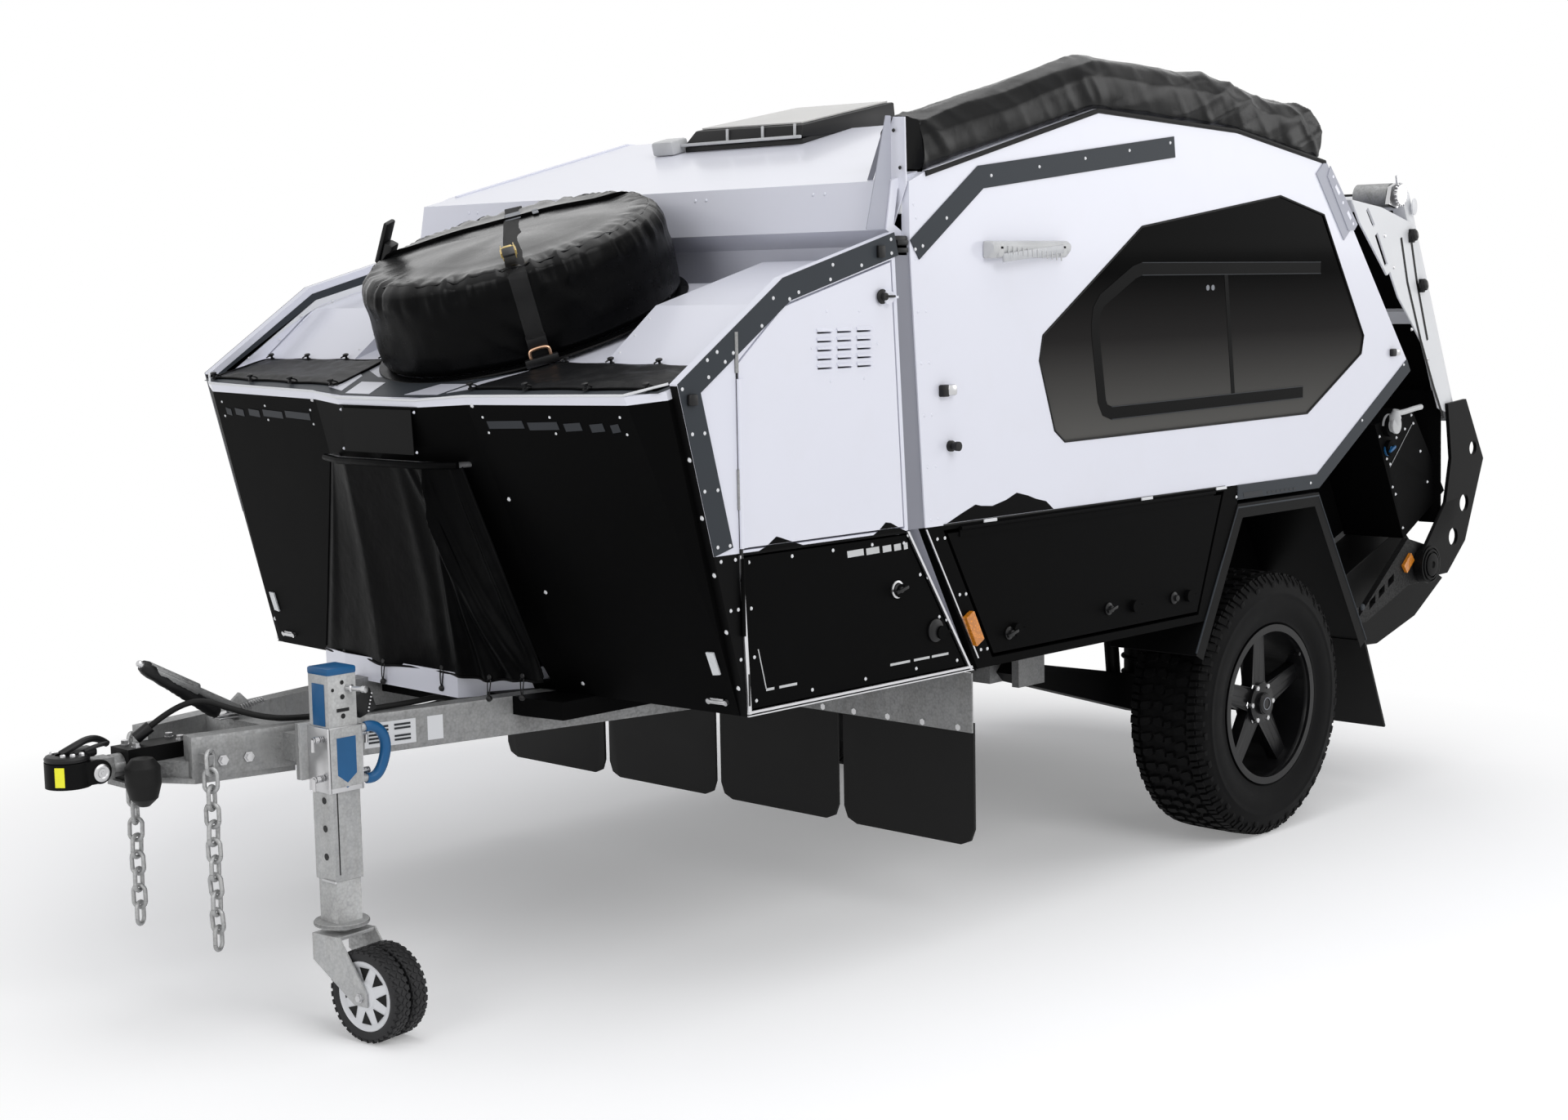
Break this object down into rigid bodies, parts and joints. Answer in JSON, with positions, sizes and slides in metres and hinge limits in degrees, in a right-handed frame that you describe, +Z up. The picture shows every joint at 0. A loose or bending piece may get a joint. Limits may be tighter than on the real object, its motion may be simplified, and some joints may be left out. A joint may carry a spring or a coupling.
{
  "type": "teardrop camper trailer",
  "caption": "Off-road teardrop camper trailer with nose box, side doors and lockers, fold-down rear deck, A-frame drawbar and jockey wheel.",
  "frame": {"origin": "on the ground, below the middle of the whole trailer", "axes": "+X forward to the coupling, +Y to the trailer's left, +Z up"},
  "size_m": [4.86, 1.934, 2.2773],
  "materials": {
    "alloy_white": "powder coat",
    "band_grey": "satin",
    "chain_zinc": "zinc",
    "hatch_white": "satin",
    "lamp_amber": "amber lens",
    "lamp_white": "clear lens",
    "panel_black": "satin, lightly textured",
    "panel_white": "satin",
    "plastic_black": "matt",
    "rubber_black": "matt",
    "steel_black": "satin",
    "steel_galvanised": "dull galvanised",
    "tyre_black": "matt",
    "vinyl_black": "coated cloth",
    "wheel_black": "semi-gloss",
    "window_dark": "tinted acrylic"
  },
  "bodies": {
    "trailer": {"awning_bag": "vinyl_black", "awning_brackets": "steel_galvanised", "awning_lamp": "lamp_white", "body_front": "panel_white", "body_roof": "panel_white", "body_sides": "panel_white", "chains": "chain_zinc", "chassis": "steel_galvanised", "corner_rails": "band_grey", "coupling_block": "steel_black", "coupling_boot": "rubber_black", "cover_rail": "alloy_white", "deck_covers": "vinyl_black", "drawbar": "steel_galvanised", "front_cover": "vinyl_black", "galley_boxes": "band_grey", "handbrake_lever": "steel_galvanised", "lead_ends": "plastic_black", "lower_sides": "panel_black", "marker_lamps": "lamp_amber", "mudflaps": "rubber_black", "mudguards": "steel_black", "nose_deck": "panel_white", "nose_floor": "hatch_white", "nose_front": "panel_white", "nose_rear": "panel_white", "nose_sides": "panel_white", "rear_hatch": "hatch_white", "rear_tray": "steel_black", "roof_hatch_frame": "plastic_black", "spare_cover": "vinyl_black", "stone_flaps": "rubber_black", "suspension_arms": "steel_black", "tow_lead": "rubber_black", "trim_bands": "band_grey", "tub_floor": "steel_galvanised", "tub_sides": "panel_white", "window_bars": "alloy_white", "windows": "window_dark"},
    "wheel_left": {"tyre_left": "tyre_black", "rim_left": "wheel_black"},
    "wheel_right": {"tyre_right": "tyre_black", "rim_right": "wheel_black"},
    "nose_upper_left": {"nose_upper_door_left": "panel_white"},
    "nose_upper_right": {"nose_upper_door_right": "panel_white"},
    "nose_lower_left": {"nose_lower_door_left": "panel_black"},
    "nose_lower_right": {"nose_lower_door_right": "panel_black"},
    "locker_left": {"locker_door_left": "panel_black"},
    "locker_right": {"locker_door_right": "panel_black"},
    "coupling_roller": {"coupling_swivel": "steel_galvanised"},
    "coupling_receiver": {"coupling_head": "steel_black"},
    "jockey_tube": {"jockey_post": "steel_galvanised"},
    "jockey_slider": {"jockey_leg": "steel_galvanised"},
    "jockey_castor": {"jockey_fork": "steel_galvanised"},
    "jockey_roller": {"jockey_wheels": "rubber_black"},
    "rear_deck": {"deck_panel": "steel_black", "deck_frame": "alloy_white", "deck_arms": "steel_black", "deck_winch": "steel_galvanised"},
    "roof_lid": {"roof_hatch": "hatch_white"}
  },
  "joints": [
    {"name": "wheel_left_spin", "type": "hinge", "parent": "trailer", "child": "wheel_left", "pos_m": [-1.067, 0.8025, 0.4], "axis": [0, 1, 0], "continuous": true},
    {"name": "wheel_right_spin", "type": "hinge", "parent": "trailer", "child": "wheel_right", "pos_m": [-1.067, -0.8025, 0.4], "axis": [0, 1, 0], "continuous": true},
    {"name": "nose_upper_left_hinge", "type": "hinge", "parent": "trailer", "child": "nose_upper_left", "pos_m": [1.201, 0.9453, 1.3], "axis": [0, 0, -1], "range_deg": [0, 110]},
    {"name": "nose_upper_right_hinge", "type": "hinge", "parent": "trailer", "child": "nose_upper_right", "pos_m": [1.201, -0.9453, 1.3], "axis": [0, 0, 1], "range_deg": [0, 110]},
    {"name": "nose_lower_left_hinge", "type": "hinge", "parent": "trailer", "child": "nose_lower_left", "pos_m": [1.201, 0.9453, 0.9], "axis": [0, 0, -1], "range_deg": [0, 110]},
    {"name": "nose_lower_right_hinge", "type": "hinge", "parent": "trailer", "child": "nose_lower_right", "pos_m": [1.201, -0.9453, 0.9], "axis": [0, 0, 1], "range_deg": [0, 110]},
    {"name": "locker_left_hinge", "type": "hinge", "parent": "trailer", "child": "locker_left", "pos_m": [-0.167, 0.9453, 1.068], "axis": [1, 0, 0], "range_deg": [0, 100]},
    {"name": "locker_right_hinge", "type": "hinge", "parent": "trailer", "child": "locker_right", "pos_m": [-0.167, -0.9453, 1.068], "axis": [-1, 0, 0], "range_deg": [0, 100]},
    {"name": "coupling_roll", "type": "hinge", "parent": "trailer", "child": "coupling_roller", "pos_m": [2.251, 0, 0.6415], "axis": [1, 0, 0], "continuous": true},
    {"name": "coupling_tilt", "type": "hinge", "parent": "coupling_roller", "child": "coupling_receiver", "pos_m": [2.324, 0, 0.6415], "axis": [0, -1, 0], "range_deg": [-25, 25]},
    {"name": "jockey_swing", "type": "hinge", "parent": "trailer", "child": "jockey_tube", "pos_m": [1.888, 0.31, 0.655], "axis": [0, -1, 0], "range_deg": [0, 90]},
    {"name": "jockey_lift", "type": "slide", "parent": "jockey_tube", "child": "jockey_slider", "axis": [0, 0, 1], "range_m": [-0.1, 0.09]},
    {"name": "jockey_swivel", "type": "hinge", "parent": "jockey_slider", "child": "jockey_castor", "pos_m": [1.888, 0.31, 0.238], "axis": [0, 0, 1], "continuous": true},
    {"name": "jockey_wheel_spin", "type": "hinge", "parent": "jockey_castor", "child": "jockey_roller", "pos_m": [1.87241, 0.42091, 0.109], "axis": [0.9903, 0.1392, 0], "continuous": true},
    {"name": "rear_deck_fold", "type": "hinge", "parent": "trailer", "child": "rear_deck", "pos_m": [-2.067, 0, 0.722], "axis": [0, -1, 0], "range_deg": [0, 112]},
    {"name": "roof_hatch_hinge", "type": "hinge", "parent": "trailer", "child": "roof_lid", "pos_m": [-0.367, 0, 2.13839], "axis": [0, -1, 0], "range_deg": [0, 60]}
  ]
}
